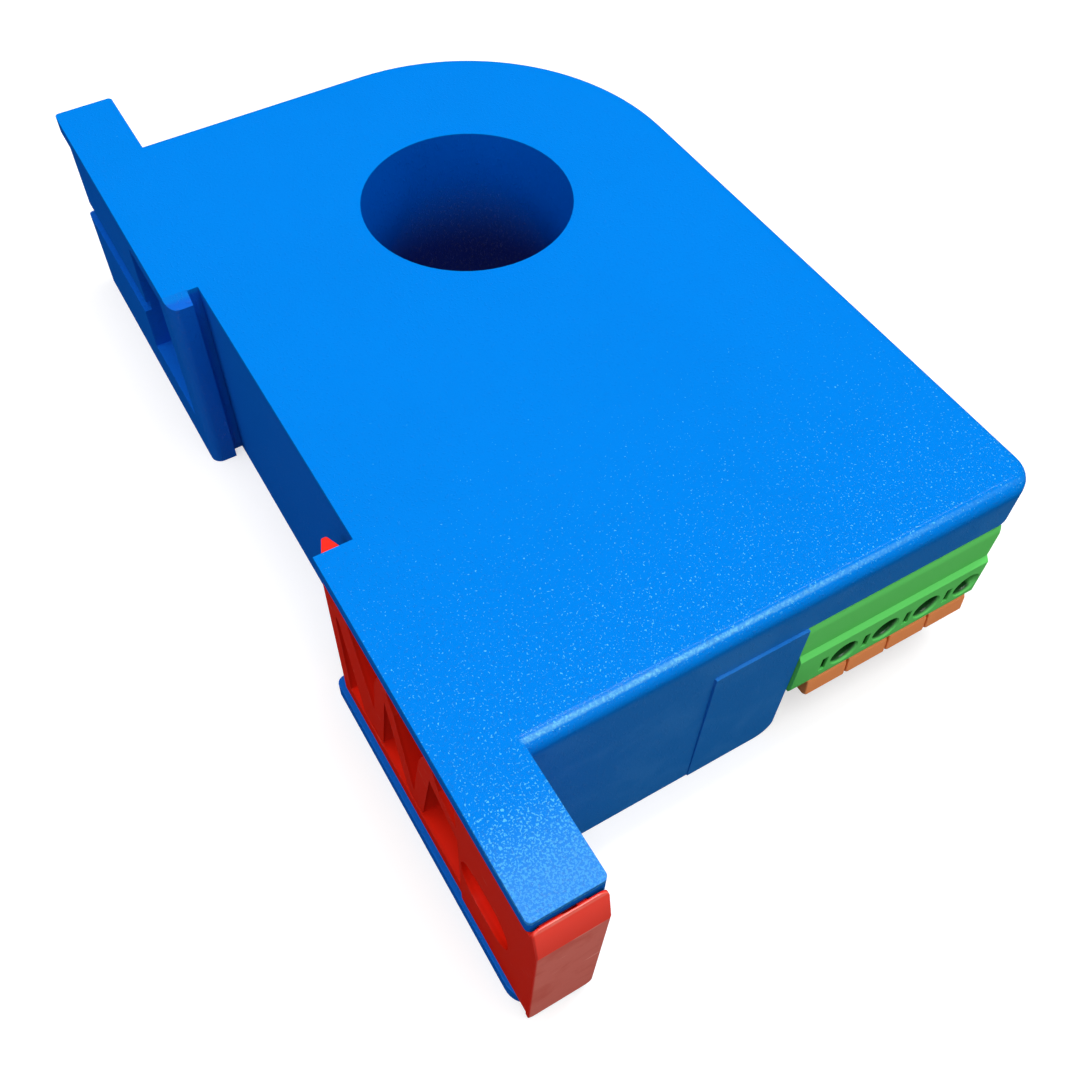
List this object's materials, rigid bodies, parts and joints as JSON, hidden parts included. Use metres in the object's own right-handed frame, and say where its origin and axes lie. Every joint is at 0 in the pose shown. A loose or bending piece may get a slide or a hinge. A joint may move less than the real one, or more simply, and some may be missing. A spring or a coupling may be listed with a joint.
{
  "type": "rail-mounted current sensor",
  "caption": "Flat current sensor with a round cable aperture, feet that clip to a DIN rail by a fixed hook and a sprung slide, and a pull-off spring-clamp terminal plug.",
  "frame": {"origin": "on the cable aperture's axis, in the plane of the underside", "axes": "+X away from the rail, +Y towards the fixed hook, +Z along the aperture, from the underside to the rounded top face"},
  "size_m": [0.0608, 0.1094, 0.025],
  "materials": {
    "blue_plastic": "fine spark-eroded grain, satin",
    "red_plastic": "smooth, satin",
    "green_plastic": "smooth, satin",
    "orange_plastic": "smooth, satin",
    "natural_plastic": "smooth",
    "board_laminate": "solder resist",
    "core_steel": "wound strip",
    "foam_rubber": "closed-cell foam",
    "core_ferrite": "matt",
    "tinned_brass": "tin plated",
    "spring_steel": "bright",
    "can_aluminium": "satin",
    "chip_moulding": "matt",
    "chip_ceramic": "matt"
  },
  "bodies": {
    "case": {"main_housing": "blue_plastic", "rear_cover": "blue_plastic", "terminal_header": "green_plastic", "circuit_board": "board_laminate", "core_holder": "natural_plastic", "magnetic_core": "core_steel", "core_pad": "foam_rubber", "hall_sensor": "chip_moulding", "capacitor_1": "can_aluminium", "capacitor_2": "can_aluminium", "inductor": "core_ferrite", "amplifier_ic": "chip_moulding", "regulator_ic": "chip_moulding", "controller_ic": "chip_moulding", "protection_diode": "chip_moulding", "chip_resistors": "chip_moulding", "chip_capacitors": "chip_ceramic", "header_pin_1": "tinned_brass", "header_pin_2": "tinned_brass", "header_pin_3": "tinned_brass", "header_pin_4": "tinned_brass"},
    "latch": {"rail_latch": "red_plastic"},
    "plug": {"plug_body": "green_plastic", "plug_contact_1": "tinned_brass", "plug_contact_2": "tinned_brass", "plug_contact_3": "tinned_brass", "plug_contact_4": "tinned_brass", "clamp_spring_1": "spring_steel", "clamp_spring_2": "spring_steel", "clamp_spring_3": "spring_steel", "clamp_spring_4": "spring_steel"},
    "lever_1": {"push_lever_1": "orange_plastic"},
    "lever_2": {"push_lever_2": "orange_plastic"},
    "lever_3": {"push_lever_3": "orange_plastic"},
    "lever_4": {"push_lever_4": "orange_plastic"}
  },
  "joints": [
    {"name": "latch_slide", "type": "slide", "parent": "case", "child": "latch", "axis": [0, -1, 0], "range_m": [0, 0.0032], "stiffness_N_per_m": 800},
    {"name": "plug_slide", "type": "slide", "parent": "case", "child": "plug", "axis": [0, -1, 0], "range_m": [0, 0.012]},
    {"name": "lever_press_1", "type": "slide", "parent": "plug", "child": "lever_1", "axis": [0, 1, 0], "range_m": [0, 0.0012], "stiffness_N_per_m": 400},
    {"name": "lever_press_2", "type": "slide", "parent": "plug", "child": "lever_2", "axis": [0, 1, 0], "range_m": [0, 0.0012], "stiffness_N_per_m": 400},
    {"name": "lever_press_3", "type": "slide", "parent": "plug", "child": "lever_3", "axis": [0, 1, 0], "range_m": [0, 0.0012], "stiffness_N_per_m": 400},
    {"name": "lever_press_4", "type": "slide", "parent": "plug", "child": "lever_4", "axis": [0, 1, 0], "range_m": [0, 0.0012], "stiffness_N_per_m": 400}
  ]
}
